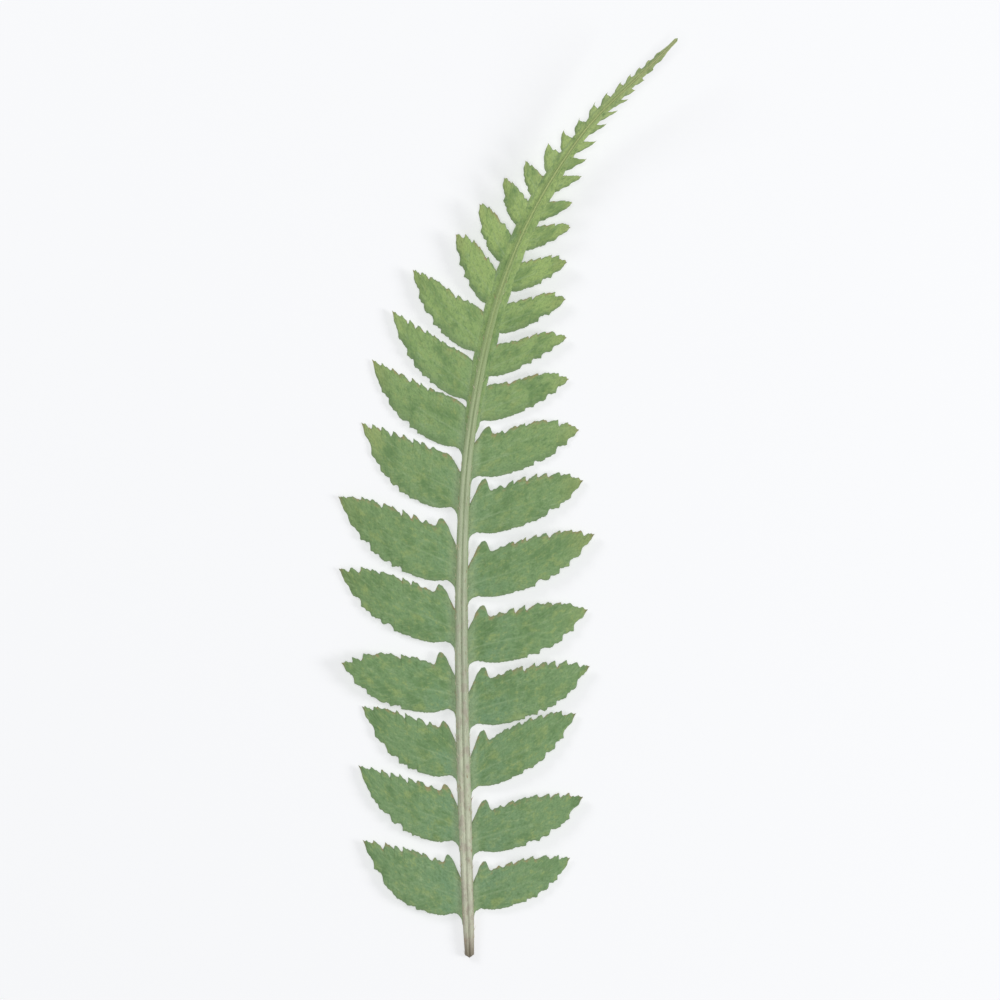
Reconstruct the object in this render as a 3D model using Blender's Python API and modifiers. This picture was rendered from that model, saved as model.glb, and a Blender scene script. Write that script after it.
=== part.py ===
# A pressed bracken frond: one leaf, whose toothed pinnae grow from both sides of its rachis.
# It lies face up with its tip towards +Y, and its upper half lifts off the surface.
# Blender works in metres. The sizes below are in millimetres and are turned by MM.
import math
import random

import bmesh
import bpy
from mathutils import Vector

MM = 0.001

FROND = "bracken_frond"
STALK_END = (-7.3, -87.5)
FROND_RUN = 187.0
BLADE_THICKNESS = 0.6
WING_THICKNESS = 0.76

# Values along the rachis are (distance from the cut end, value). Headings are in degrees from +Y
# towards +X, and the wing's reach is on each side of the rachis.
HEADING = (
    (0, -2), (40, -1.5), (65, 0), (85, 2.5), (100, 7.5), (120, 13.5),
    (135, 22), (150, 31), (160, 36), (168, 46), (176, 47.5), (187, 44),
)
RACHIS_WIDTH = ((0, 1.7), (8, 2.2), (30, 2.6), (60, 2.5), (92, 2.1), (125, 1.5), (145, 1.1), (187, 0.7))
WING_REACH = ((98, 0.3), (118, 1.2), (148, 1.3), (158, 0.7), (172, 0.45), (180, 0.3), (187, 0.05))
RACHIS_STEP = 4.0
WING_STEP = 4.4
WALK_STEP = 0.5

# The rachis is pressed flat below and grooved above. Its section is in shares of its half width.
RACHIS_SECTION = (
    (-0.55, -0.8), (-0.95, -0.35), (-1.0, 0.15), (-0.62, 0.7), (-0.3, 0.78), (0.0, 0.55),
    (0.3, 0.78), (0.62, 0.7), (1.0, 0.15), (0.95, -0.35), (0.55, -0.8),
)
UNDERSIDE = 0.8

# The lift grows with the square of the distance past LIFT_START. Over the next LIFT_RUN the
# pinnae stop settling towards the surface.
LIFT_START = 95.0
LIFT_RUN = 30.0
TIP_LIFT = 11.0

# Each side's pinnae, by number from the stalk: where the foot leaves the rachis, how far the tip
# reaches away from the rachis, how much further along it the tip lies, how far the midrib sags
# below a straight line, where it starts in the blade's height, how much of the room up to the next
# pinna the blade fills, how strong its ear is, how high its heel stands beside the rachis and how
# full its lower half. Most tips keep a drawn gap over the surface, but the seventh on the left and
# the eighth on the right rest on it, and the fourth on the left lies higher than the third.
PINNAE = 24
LEFT = {
    "side": -1,
    "foot": (
        (1, 8.7), (2, 22.4), (5, 59.8), (6, 71.4), (7, 85.3), (8, 96.5), (11, 123.9),
        (13, 139.4), (15, 152), (17, 160.6), (20, 171), (25, 184),
    ),
    "reach": (
        (1, 18.5), (2, 18.8), (3, 17.8), (4, 21.6), (6, 22.6), (7, 19.2), (8, 19.2), (10, 15.8),
        (11, 10.3), (13, 7.1), (15, 3.7), (16, 2.8), (17, 1.8), (18, 1.7), (20, 1.1), (25, 0.3),
    ),
    "rise": (
        (1, 14.3), (2, 14.8), (3, 13.5), (4, 9.2), (5, 14.4), (6, 16.1), (9, 15), (12, 10.2),
        (14, 6.1), (15, 4.6), (16, 4), (17, 3), (18, 3.7), (19, 2.9), (21, 2.4), (24, 0.9),
    ),
    "sag": (
        (1, 2.5), (2, 2.5), (3, 2.1), (4, 1.1), (5, 1.6), (7, 2.4), (10, 1.4), (11, 0.5), (12, 0.9),
        (14, 0.5), (25, 0.1),
    ),
    "midrib": ((1, 0.21), (3, 0.22), (4, 0.26), (25, 0.26)),
    "fill": (
        (1, 0.79), (3, 0.81), (4, 0.79), (5, 0.86), (8, 0.92), (11, 0.97), (14, 0.95), (17, 1.05),
        (25, 1.05),
    ),
    "ear": ((1, 0.7), (3, 0.65), (4, 1.05), (5, 0.75), (6, 0.75), (7, 0.15), (8, 0)),
    "heel": ((7, 0), (8, 0.2), (9, 0.2), (10, 0.22), (11, 0)),
    "belly": ((1, 1.08), (9, 1.08), (11, 0.96), (12, 0.73), (14, 0.74), (15, 1.25), (16, 1), (25, 1)),
    "tip_gaps": {3: 0.15, 4: 2.2, 7: 0},
}
RIGHT = {
    "side": 1,
    "foot": (
        (1, 8.7), (2, 19.6), (7, 80), (9, 101.4), (13, 135.7), (15, 148), (16, 153), (18, 161),
        (21, 171.5), (25, 184),
    ),
    "reach": (
        (1, 18.7), (2, 21.4), (3, 20.4), (4, 23.2), (5, 22.9), (6, 24.1), (7, 21.5), (8, 19.8),
        (9, 16.2), (11, 12), (13, 7.4), (14, 5.4), (16, 3.1), (18, 2.1), (21, 1.1), (23, 0.6),
        (25, 0.2),
    ),
    "rise": (
        (1, 9.6), (2, 10.3), (3, 14.2), (4, 11.2), (5, 10.2), (6, 12.9), (7, 11.6), (10, 11.2),
        (12, 9.5), (14, 6.9), (15, 6.4), (16, 4.9), (19, 4.8), (20, 4.4), (21, 3), (24, 1),
    ),
    "sag": ((1, 1.3), (6, 1.3), (7, 0.7), (8, 0.3), (10, -0.3), (12, 0), (25, 0)),
    "midrib": ((1, 0.26), (6, 0.28), (8, 0.33), (10, 0.36), (15, 0.3), (25, 0.26)),
    "fill": (
        (1, 0.78), (4, 0.84), (6, 0.82), (7, 0.82), (8, 0.85), (9, 0.76), (13, 0.75), (16, 0.93),
        (25, 1),
    ),
    "ear": ((1, 1), (6, 1), (7, 1.15), (8, 0.75), (9, 0.1), (10, 0)),
    "heel": ((7, 0), (8, 0.08), (9, 0.25), (10, 0.3), (11, 0.16), (13, 0.07), (14, 0)),
    "belly": ((1, 0.94), (25, 0.94)),
    "tip_gaps": {8: 0},
}

# A blade's margins above and below its midrib, in shares of its height, from foot to tip. From
# the pinna where YOUNG starts to the one where it ends, they turn into plain pointed lobes. BOW
# makes the midrib's sag u * u * (1 - u) reach its full depth two thirds of the way out.
UPPER_MARGIN = (
    (0, 0.38), (0.1, 0.5), (0.2, 0.53), (0.3, 0.57), (0.45, 0.55), (0.6, 0.51), (0.72, 0.44),
    (0.82, 0.34), (0.91, 0.2), (0.96, 0.1), (1, 0),
)
LOWER_MARGIN = (
    (0, 0.42), (0.05, 0.28), (0.12, 0.33), (0.2, 0.4), (0.3, 0.43), (0.6, 0.42), (0.72, 0.36),
    (0.82, 0.28), (0.91, 0.17), (1, 0),
)
YOUNG = ((12, 0), (16, 1))
YOUNG_UPPER = ((0, 0.52), (0.3, 0.37), (0.6, 0.19), (1, 0))
YOUNG_LOWER = ((0, 0.42), (0.5, 0.32), (0.8, 0.17), (1, 0))
BOW = 27 / 4

# The ear stands up a little way out from the rachis, and the heel right beside it.
EAR = ((0, 0), (0.045, 0.1), (0.085, 0.22), (0.12, 0.25), (0.15, 0.17), (0.195, -0.02))
HEEL = ((0, 1), (0.085, 0.6), (0.195, 0.3), (0.35, 0))

# Teeth point towards the blade's tip. Their depth is a share of the blade's height, and on the
# lower margin they grow between SMOOTH_FOOT and twice that share of the way out.
TOOTH_RUN = 3.0
TOOTH_DEPTH = 0.07
TOOTH_PEAK = 0.7
SMOOTH_FOOT = 0.3

# How the blades lie: an arch along each one, less on the lifted part, a crease at its midrib, a
# twist towards its tip, and the gap that a tip keeps over the surface.
ARCH = 0.7
ARCH_RANGE = (0.6, 1.3)
LIFTED_ARCH = 0.4
CREASE = 0.22
CREASE_RUN = 0.2
TWIST = 0.45
TIP_GAPS = (0.3, 1.6)
SETTLE_POWER = 1.5
SMALL_BLADE = 8.0
ROOT_DEPTH = 0.55
SEED = 11

# Points that come out within this height of the surface are set exactly on it, so that the rachis
# and the resting blades share one plane and the frond lies still.
FLAT_WITHIN = 0.13


def read(knots, at):
    """The value at a place, on straight runs between the knots."""
    if at <= knots[0][0]:
        return knots[0][1]
    for (x0, y0), (x1, y1) in zip(knots, knots[1:]):
        if at <= x1:
            return y0 + (y1 - y0) * (at - x0) / (x1 - x0)
    return knots[-1][1]


def walk_rachis():
    """Points in plan along the rachis, found by walking along its heading."""
    points = [Vector(STALK_END)]
    for n in range(round(FROND_RUN / WALK_STEP)):
        heading = math.radians(read(HEADING, (n + 0.5) * WALK_STEP))
        points.append(points[-1] + WALK_STEP * Vector((math.sin(heading), math.cos(heading))))
    return points


WALK = walk_rachis()


def plan(s):
    """The rachis's place in plan at a distance from the cut end."""
    n = min(max(int(s / WALK_STEP), 0), len(WALK) - 2)
    return WALK[n].lerp(WALK[n + 1], s / WALK_STEP - n)


def directions(s):
    """The ways along the rachis and to its right, in plan."""
    heading = math.radians(read(HEADING, s))
    along = Vector((math.sin(heading), math.cos(heading)))
    return along, Vector((along.y, -along.x))


def half_width(s):
    return read(RACHIS_WIDTH, s) / 2


def height(s):
    """The height of the rachis's middle: it rests on its underside, then lifts."""
    past = max(0, s - LIFT_START) / (FROND_RUN - LIFT_START)
    return UNDERSIDE * half_width(s) + TIP_LIFT * past**2


def clear_scene():
    for obj in list(bpy.data.objects):
        bpy.data.objects.remove(obj)


def new_collection(name):
    collection = bpy.data.collections.new(name)
    bpy.context.scene.collection.children.link(collection)
    return collection


def make_material(name, colour, roughness):
    material = bpy.data.materials.new(name)
    material.use_nodes = True
    shader = material.node_tree.nodes["Principled BSDF"]
    shader.inputs["Base Color"].default_value = (*colour, 1)
    shader.inputs["Roughness"].default_value = roughness
    return material


def poly_curve(name, dimensions, points, radii, cyclic):
    """A curve object of straight runs, with a radius at each point."""
    curve = bpy.data.curves.new(name, "CURVE")
    curve.dimensions = dimensions
    spline = curve.splines.new("POLY")
    spline.points.add(len(points) - 1)
    for point, place, radius in zip(spline.points, points, radii):
        point.co = (*(place * MM), 1)
        point.radius = radius
    spline.use_cyclic_u = cyclic
    obj = bpy.data.objects.new(name, curve)
    bpy.context.scene.collection.objects.link(obj)
    return obj


def build_rachis(material):
    """The rachis: its section swept along the walk, and tapered by each point's radius."""
    outline = [Vector((x, y, 0)) for x, y in RACHIS_SECTION]
    section = poly_curve("rachis_section", "2D", outline, [1] * len(outline), True)
    count = round(FROND_RUN / RACHIS_STEP)
    stations = [FROND_RUN * n / count for n in range(count + 1)]
    places = [Vector((*plan(s), height(s))) for s in stations]
    sweep = poly_curve("rachis_sweep", "3D", places, [half_width(s) for s in stations], False)
    sweep.data.twist_mode = "Z_UP"
    sweep.data.bevel_mode = "OBJECT"
    sweep.data.bevel_object = section
    sweep.data.use_fill_caps = True

    graph = bpy.context.evaluated_depsgraph_get()
    mesh = bpy.data.meshes.new_from_object(sweep.evaluated_get(graph))
    work = bmesh.new()
    work.from_mesh(mesh)
    bmesh.ops.remove_doubles(work, verts=work.verts, dist=MM / 1000)
    bmesh.ops.recalc_face_normals(work, faces=work.faces)
    work.to_mesh(mesh)
    work.free()
    mesh.materials.clear()
    mesh.materials.append(material)
    rachis = bpy.data.objects.new(FROND, mesh)
    rachis.matrix_world = sweep.matrix_world
    bpy.data.objects.remove(sweep)
    bpy.data.objects.remove(section)
    return rachis


def add_sheet(name, columns, rows, place, thickness, collection, material):
    """A grid whose points go where place(column, row) says, given a thickness."""
    work = bmesh.new()
    bmesh.ops.create_grid(work, x_segments=columns - 1, y_segments=rows - 1, size=1)
    for vert in work.verts:
        column = round((vert.co.x + 1) / 2 * (columns - 1))
        row = round((vert.co.y + 1) / 2 * (rows - 1))
        vert.co = place(column, row) * MM
    bmesh.ops.remove_doubles(work, verts=work.verts, dist=MM / 1000)
    bmesh.ops.triangulate(work, faces=work.faces)
    bmesh.ops.recalc_face_normals(work, faces=work.faces)
    mesh = bpy.data.meshes.new(name)
    work.to_mesh(mesh)
    work.free()
    mesh.materials.append(material)
    obj = bpy.data.objects.new(name, mesh)
    collection.objects.link(obj)
    solidify = obj.modifiers.new("thickness", "SOLIDIFY")
    solidify.thickness = thickness * MM
    solidify.offset = 0


def blade_columns(teeth):
    """Places from foot to tip, each with its depth between teeth: 0 at a point, 1 in a notch."""
    columns = [(u, 0) for u, height in EAR]
    start = EAR[-1][0]
    run = (1 - start) / teeth
    for n in range(teeth):
        columns.append((start + run * (n + TOOTH_PEAK), 0))
        columns.append((start + run * (n + 1), 1))
    columns[-1] = (1, 0)
    return columns


def add_pinna(side, number, draw, collection, material):
    """One pinna: a thin arched blade with toothed margins, creased along its midrib."""
    s = read(side["foot"], number)
    before = max(number - 1, 1)
    spacing = (read(side["foot"], number + 1) - read(side["foot"], before)) / (number + 1 - before)
    tall = read(side["fill"], number) * spacing
    reach = read(side["reach"], number)
    rise = read(side["rise"], number)
    foot = read(side["midrib"], number) * tall
    sag = read(side["sag"], number)
    belly = read(side["belly"], number)
    ear = read(side["ear"], number)
    heel = read(side["heel"], number)
    young = read(YOUNG, number)
    size = min(1, reach / SMALL_BLADE)

    on_surface = read(((LIFT_START, 1), (LIFT_START + LIFT_RUN, 0)), s)
    tip_gap = draw.uniform(*TIP_GAPS)
    twist = TWIST * draw.uniform(-1, 1)
    if number in side["tip_gaps"]:
        tip_gap = side["tip_gaps"][number]
        twist = 0
    tip_height = BLADE_THICKNESS / 2 + tip_gap
    arch = ARCH * size * draw.uniform(*ARCH_RANGE) * (LIFTED_ARCH + (1 - LIFTED_ARCH) * on_surface)
    along, right = directions(s)
    away = side["side"] * right
    columns = [(-1, 0)] + blade_columns(max(1, round(math.hypot(reach, rise) / TOOTH_RUN)))

    def place(column, row):
        u, notch = columns[column]
        root = ROOT_DEPTH * half_width(s) if u < 0 else 0
        u = max(u, 0)
        depth = TOOTH_DEPTH * tall * notch
        up = foot + (rise - foot) * u - sag * BOW * u * u * (1 - u)
        if row == 2:
            margin = (1 - young) * read(UPPER_MARGIN, u) + young * read(YOUNG_UPPER, u)
            up += (margin + ear * read(EAR, u) + heel * read(HEEL, u)) * tall - depth
        if row == 0:
            margin = (1 - young) * read(LOWER_MARGIN, u) + young * read(YOUNG_LOWER, u)
            toothed = min(1, max(0, (u - SMOOTH_FOOT) / SMOOTH_FOOT))
            up -= belly * margin * tall - depth * toothed
        flat = plan(s) + away * (half_width(s) + u * reach - root) + along * up
        carried = height(s + up)
        settle = on_surface * (tip_height - carried) * u**SETTLE_POWER
        bend = arch * math.sin(math.pi * u)
        crease = CREASE * size * (1 - u) * min(1, u / CREASE_RUN)
        edge = (row - 1) * twist * size * u - abs(row - 1) * crease
        return Vector((*flat, carried + settle + bend + edge))

    name = f"pinna_{'left' if side is LEFT else 'right'}_{number:02d}"
    add_sheet(name, len(columns), 3, place, BLADE_THICKNESS, collection, material)


def add_wing(collection, material):
    """The narrow green wing that joins the feet of the upper pinnae along the rachis."""
    start = WING_REACH[0][0]
    end = WING_REACH[-1][0] - BLADE_THICKNESS
    count = round((end - start) / WING_STEP)

    def place(column, row):
        s = start + (end - start) * column / count
        out = (row - 1) * (half_width(s) + read(WING_REACH, s))
        return Vector((*(plan(s) + out * directions(s)[1]), height(s)))

    add_sheet("wing", count + 1, 3, place, WING_THICKNESS, collection, material)


def grow_together(rachis, blades):
    """One Boolean union of the rachis with every blade in the collection, applied."""
    union = rachis.modifiers.new("grown_together", "BOOLEAN")
    union.operation = "UNION"
    union.operand_type = "COLLECTION"
    union.collection = blades
    union.solver = "MANIFOLD"
    union.material_mode = "TRANSFER"
    graph = bpy.context.evaluated_depsgraph_get()
    mesh = bpy.data.meshes.new_from_object(rachis.evaluated_get(graph))
    for vert in mesh.vertices:
        if vert.co.z < FLAT_WITHIN * MM:
            vert.co.z = 0
    rachis.modifiers.clear()
    rachis.data = mesh
    for obj in list(blades.objects):
        bpy.data.objects.remove(obj)
    bpy.data.collections.remove(blades)


def main():
    clear_scene()
    parts = new_collection(FROND + "_parts")
    blades = new_collection("blades")
    green = make_material("pressed_green_blade", (0.2, 0.31, 0.15), 0.7)
    tan = make_material("tan_rachis", (0.37, 0.4, 0.29), 0.75)

    rachis = build_rachis(tan)
    parts.objects.link(rachis)
    add_wing(blades, green)
    draw = random.Random(SEED)
    for side in (LEFT, RIGHT):
        for number in range(1, PINNAE + 1):
            add_pinna(side, number, draw, blades, green)
    grow_together(rachis, blades)


main()
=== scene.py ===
# A pressed bracken frond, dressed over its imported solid. Sizes here are in millimetres, and
# become metres at the end of each node tree.
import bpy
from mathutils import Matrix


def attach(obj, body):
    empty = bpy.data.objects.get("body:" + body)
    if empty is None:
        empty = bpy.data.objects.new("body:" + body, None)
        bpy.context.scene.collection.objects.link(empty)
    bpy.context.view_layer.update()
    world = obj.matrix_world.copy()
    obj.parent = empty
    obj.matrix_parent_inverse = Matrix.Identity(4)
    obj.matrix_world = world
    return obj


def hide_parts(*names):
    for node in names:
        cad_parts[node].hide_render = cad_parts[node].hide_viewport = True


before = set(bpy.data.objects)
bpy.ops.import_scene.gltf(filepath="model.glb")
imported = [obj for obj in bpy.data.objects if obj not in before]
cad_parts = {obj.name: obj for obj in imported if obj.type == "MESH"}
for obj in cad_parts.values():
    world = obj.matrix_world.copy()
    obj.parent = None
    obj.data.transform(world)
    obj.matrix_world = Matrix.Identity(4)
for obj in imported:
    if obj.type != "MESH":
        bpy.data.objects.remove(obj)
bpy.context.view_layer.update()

import math
import random

import bmesh
import bpy
from mathutils import Vector

mm = 0.001

# The path that the frond grows along, as (distance from the cut end, value). Headings turn from
# +Y towards +X, in degrees.
frondPath = {
    "stalkEnd": (-7.3, -87.5),
    "run": 187,
    "heading": (
        (0, -2), (40, -1.5), (65, 0), (85, 2.5), (100, 7.5), (120, 13.5),
        (135, 22), (150, 31), (160, 36), (168, 46), (176, 47.5), (187, 44),
    ),
    "rachisWidth": (
        (0, 1.7), (8, 2.2), (30, 2.6), (60, 2.5), (92, 2.1), (125, 1.5), (145, 1.1), (187, 0.7),
    ),
    "underside": 0.8,
    "liftStart": 95,
    "liftRun": 30,
    "tipLift": 11,
    "walkStep": 0.5,
}

# Each side's pinnae, by number from the stalk.
leftSide = {
    "side": -1,
    "foot": (
        (1, 8.7), (2, 22.4), (5, 59.8), (6, 71.4), (7, 85.3), (8, 96.5), (11, 123.9),
        (13, 139.4), (15, 152), (17, 160.6), (20, 171), (25, 184),
    ),
    "reach": (
        (1, 18.5), (2, 18.8), (3, 17.8), (4, 21.6), (6, 22.6), (7, 19.2), (8, 19.2), (10, 15.8),
        (11, 10.3), (13, 7.1), (15, 3.7), (16, 2.8), (17, 1.8), (18, 1.7), (20, 1.1), (25, 0.3),
    ),
    "rise": (
        (1, 14.3), (2, 14.8), (3, 13.5), (4, 9.2), (5, 14.4), (6, 16.1), (9, 15), (12, 10.2),
        (14, 6.1), (15, 4.6), (16, 4), (17, 3), (18, 3.7), (19, 2.9), (21, 2.4), (24, 0.9),
    ),
    "sag": (
        (1, 2.5), (2, 2.5), (3, 2.1), (4, 1.1), (5, 1.6), (7, 2.4), (10, 1.4), (11, 0.5), (12, 0.9),
        (14, 0.5), (25, 0.1),
    ),
    "midrib": ((1, 0.21), (3, 0.22), (4, 0.26), (25, 0.26)),
    "fill": (
        (1, 0.79), (3, 0.81), (4, 0.79), (5, 0.86), (8, 0.92), (11, 0.97), (14, 0.95), (17, 1.05),
        (25, 1.05),
    ),
    "ear": ((1, 0.7), (3, 0.65), (4, 1.05), (5, 0.75), (6, 0.75), (7, 0.15), (8, 0)),
    "heel": ((7, 0), (8, 0.2), (9, 0.2), (10, 0.22), (11, 0)),
    "belly": (
        (1, 1.08), (9, 1.08), (11, 0.96), (12, 0.73), (14, 0.74), (15, 1.25), (16, 1), (25, 1),
    ),
    "tipGaps": {3: 0.15, 4: 2.2, 7: 0},
}
rightSide = {
    "side": 1,
    "foot": (
        (1, 8.7), (2, 19.6), (7, 80), (9, 101.4), (13, 135.7), (15, 148), (16, 153), (18, 161),
        (21, 171.5), (25, 184),
    ),
    "reach": (
        (1, 18.7), (2, 21.4), (3, 20.4), (4, 23.2), (5, 22.9), (6, 24.1), (7, 21.5), (8, 19.8),
        (9, 16.2), (11, 12), (13, 7.4), (14, 5.4), (16, 3.1), (18, 2.1), (21, 1.1), (23, 0.6),
        (25, 0.2),
    ),
    "rise": (
        (1, 9.6), (2, 10.3), (3, 14.2), (4, 11.2), (5, 10.2), (6, 12.9), (7, 11.6), (10, 11.2),
        (12, 9.5), (14, 6.9), (15, 6.4), (16, 4.9), (19, 4.8), (20, 4.4), (21, 3), (24, 1),
    ),
    "sag": ((1, 1.3), (6, 1.3), (7, 0.7), (8, 0.3), (10, -0.3), (12, 0), (25, 0)),
    "midrib": ((1, 0.26), (6, 0.28), (8, 0.33), (10, 0.36), (15, 0.3), (25, 0.26)),
    "fill": (
        (1, 0.78), (4, 0.84), (6, 0.82), (7, 0.82), (8, 0.85), (9, 0.76), (13, 0.75), (16, 0.93),
        (25, 1),
    ),
    "ear": ((1, 1), (6, 1), (7, 1.15), (8, 0.75), (9, 0.1), (10, 0)),
    "heel": ((7, 0), (8, 0.08), (9, 0.25), (10, 0.3), (11, 0.16), (13, 0.07), (14, 0)),
    "belly": ((1, 0.94), (25, 0.94)),
    "tipGaps": {8: 0},
}


def read(knots, at):  # the value at a place, on straight runs between the knots
    if at <= knots[0][0]:
        return knots[0][1]
    for (x0, y0), (x1, y1) in zip(knots, knots[1:]):
        if at <= x1:
            return y0 + (y1 - y0) * (at - x0) / (x1 - x0)
    return knots[-1][1]


def walkPath():
    step = frondPath["walkStep"]
    points = [Vector(frondPath["stalkEnd"])]
    for n in range(round(frondPath["run"] / step)):
        heading = math.radians(read(frondPath["heading"], (n + 0.5) * step))
        points.append(points[-1] + step * Vector((math.sin(heading), math.cos(heading))))
    return points


walked = walkPath()


def plan(s):
    n = min(max(int(s / frondPath["walkStep"]), 0), len(walked) - 2)
    return walked[n].lerp(walked[n + 1], s / frondPath["walkStep"] - n)


def alongAt(s):
    heading = math.radians(read(frondPath["heading"], s))
    return Vector((math.sin(heading), math.cos(heading)))


def halfWidth(s):
    return read(frondPath["rachisWidth"], s) / 2


def heightAt(s):
    past = max(0, s - frondPath["liftStart"]) / (frondPath["run"] - frondPath["liftStart"])
    return frondPath["underside"] * halfWidth(s) + frondPath["tipLift"] * past**2


class Wire:  # a node's output, on which sums can be written
    def __init__(self, sheet, socket):
        self.sheet = sheet
        self.socket = socket

    def __add__(self, other):
        return self.sheet.maths("ADD", self, other)

    def __radd__(self, other):
        return self.sheet.maths("ADD", other, self)

    def __sub__(self, other):
        return self.sheet.maths("SUBTRACT", self, other)

    def __rsub__(self, other):
        return self.sheet.maths("SUBTRACT", other, self)

    def __mul__(self, other):
        return self.sheet.maths("MULTIPLY", self, other)

    def __rmul__(self, other):
        return self.sheet.maths("MULTIPLY", other, self)

    def __truediv__(self, other):
        return self.sheet.maths("DIVIDE", self, other)

    def __pow__(self, other):
        return self.sheet.maths("POWER", self, other)


class NodeSheet:  # writes nodes into one tree, for shapes and for finishes
    def __init__(self, tree):
        self.tree = tree

    def add(self, kind, settings=None, sockets=None, output=0):
        node = self.tree.nodes.new(kind)
        for name, value in (settings or {}).items():
            if name == "stops":  # (place, colour) pairs of a ramp, in order
                stops = node.color_ramp.elements
                stops[0].position, stops[0].color = value[0]
                stops[1].position, stops[1].color = value[-1]
                for place, colour in value[1:-1]:
                    stops.new(place).color = colour
            elif name == "knots":  # (place, value) pairs of a curve
                node.mapping.clip_min_y = -1
                curve = node.mapping.curves[0]
                curve.points[0].location = value[0]
                curve.points[1].location = value[-1]
                for place in value[1:-1]:
                    curve.points.new(*place)
                node.mapping.update()
            elif name == "handles":
                for point in node.mapping.curves[0].points:
                    point.handle_type = value
                node.mapping.update()
            else:
                setattr(node, name, value)
        for name, value in (sockets or {}).items():
            if isinstance(value, Wire):
                self.tree.links.new(value.socket, node.inputs[name])
            else:
                node.inputs[name].default_value = value
        return Wire(self, node.outputs[output])

    def maths(self, operation, *values):
        return self.add("ShaderNodeMath", {"operation": operation}, dict(enumerate(values)))

    def least(self, first, second):
        return self.maths("MINIMUM", first, second)

    def most(self, first, second):
        return self.maths("MAXIMUM", first, second)

    def held(self, value):  # kept between 0 and 1
        return self.add("ShaderNodeClamp", None, {"Value": value})

    def ramp(self, value, start, end, low=0, high=1):  # smooth change from start to end
        sockets = {"Value": value, "From Min": start, "From Max": end}
        sockets.update({"To Min": low, "To Max": high})
        return self.add("ShaderNodeMapRange", {"interpolation_type": "SMOOTHSTEP"}, sockets)

    def curve(self, value, knots, handles="AUTO"):
        settings = {"knots": knots, "handles": handles}
        return self.add("ShaderNodeFloatCurve", settings, {"Value": value})

    def vector(self, x, y, z):
        return self.add("ShaderNodeCombineXYZ", None, {"X": x, "Y": y, "Z": z})

    def parts(self, vector):
        split = self.add("ShaderNodeSeparateXYZ", None, {"Vector": vector})
        return [Wire(self, socket) for socket in split.socket.node.outputs]

    def noise(self, vector, scale, detail=2, roughness=0.5):
        sockets = {"Vector": vector, "Scale": scale, "Detail": detail, "Roughness": roughness}
        return self.add("ShaderNodeTexNoise", None, sockets)

    def speck(self, x, y, z):  # a random value for each whole-number place
        settings = {"noise_dimensions": "3D"}
        return self.add("ShaderNodeTexWhiteNoise", settings, {"Vector": self.vector(x, y, z)})

    def blend(self, factor, first, second):  # of two colours
        settings = {"data_type": "RGBA", "clamp_factor": True}
        return self.add("ShaderNodeMix", settings, {0: factor, 6: first, 7: second}, 2)

    def shades(self, share, stops):  # a colour for each share of the way up the frond
        stops = [(place, ink(*shade)) for place, shade in stops]
        return self.add("ShaderNodeValToRGB", {"stops": stops}, {0: share})

    def layers(self, look, colour, *masks):  # lays a look's colours over a colour, in turn
        for mask, shade, amount in masks:
            if amount:
                mask = mask * look["amounts"][amount]
            shade = shade if isinstance(shade, Wire) else ink(*look[shade])
            colour = self.blend(mask, colour, shade)
        return colour

    def bump(self, strength, distance, height):
        sockets = {"Strength": strength, "Distance": distance * mm, "Height": height}
        return self.add("ShaderNodeBump", None, sockets)

    def attribute(self, name):  # a vector that a piece carries, in a finish
        return self.add("ShaderNodeAttribute", {"attribute_name": name}, None, 1)

    def feed(self, shader, inputs):
        for name, value in inputs.items():
            self.tree.links.new(value.socket, shader.inputs[name])

    def take(self, inputs):  # the tree's own inputs, each name with its kind
        for name, kind in inputs.items():
            kind = "NodeSocket" + kind
            self.tree.interface.new_socket(name=name, in_out="INPUT", socket_type=kind)
        entry = self.tree.nodes.new("NodeGroupInput")
        return [Wire(self, entry.outputs[name]) for name in inputs]

    def scatter(self, points, shape, **sockets):  # the shape at each point
        sockets = {"Points": points, "Instance": shape, **sockets}
        scattered = self.add("GeometryNodeInstanceOnPoints", None, sockets)
        return self.add("GeometryNodeRealizeInstances", None, {"Geometry": scattered})

    def clad(self, shape, material):  # gives the tree's result its material
        sockets = {"Geometry": shape, "Material": material}
        shape = self.add("GeometryNodeSetMaterial", None, sockets)
        kind = "NodeSocketGeometry"
        self.tree.interface.new_socket(name="Geometry", in_out="OUTPUT", socket_type=kind)
        ending = self.tree.nodes.new("NodeGroupOutput")
        self.tree.links.new(shape.socket, ending.inputs[0])

    def named(self, name, kind="FLOAT"):
        return self.add("GeometryNodeInputNamedAttribute", {"data_type": kind}, {"Name": name})

    def store(self, shape, name, value, kind="FLOAT"):
        settings = {"data_type": kind, "domain": "POINT"}
        sockets = {"Geometry": shape, "Name": name, "Value": value}
        return self.add("GeometryNodeStoreNamedAttribute", settings, sockets)

    def storePlace(self, shape, name, *values):  # three values that the finish reads
        return self.store(shape, name, self.vector(*values), "FLOAT_VECTOR")

    def move(self, shape, x, y, z):  # to a place given in millimetres
        sockets = {"Geometry": shape, "Position": self.vector(x * mm, y * mm, z * mm)}
        return self.add("GeometryNodeSetPosition", None, sockets)

    def grid(self, columns, rows):  # a flat grid, with the share of the way along and across it
        sockets = {"Size X": 1, "Size Y": 1, "Vertices X": columns, "Vertices Y": rows}
        shape = self.add("GeometryNodeMeshGrid", None, sockets)
        x, y = self.parts(self.add("GeometryNodeInputPosition"))[:2]
        return shape, x + 0.5, y + 0.5

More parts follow.
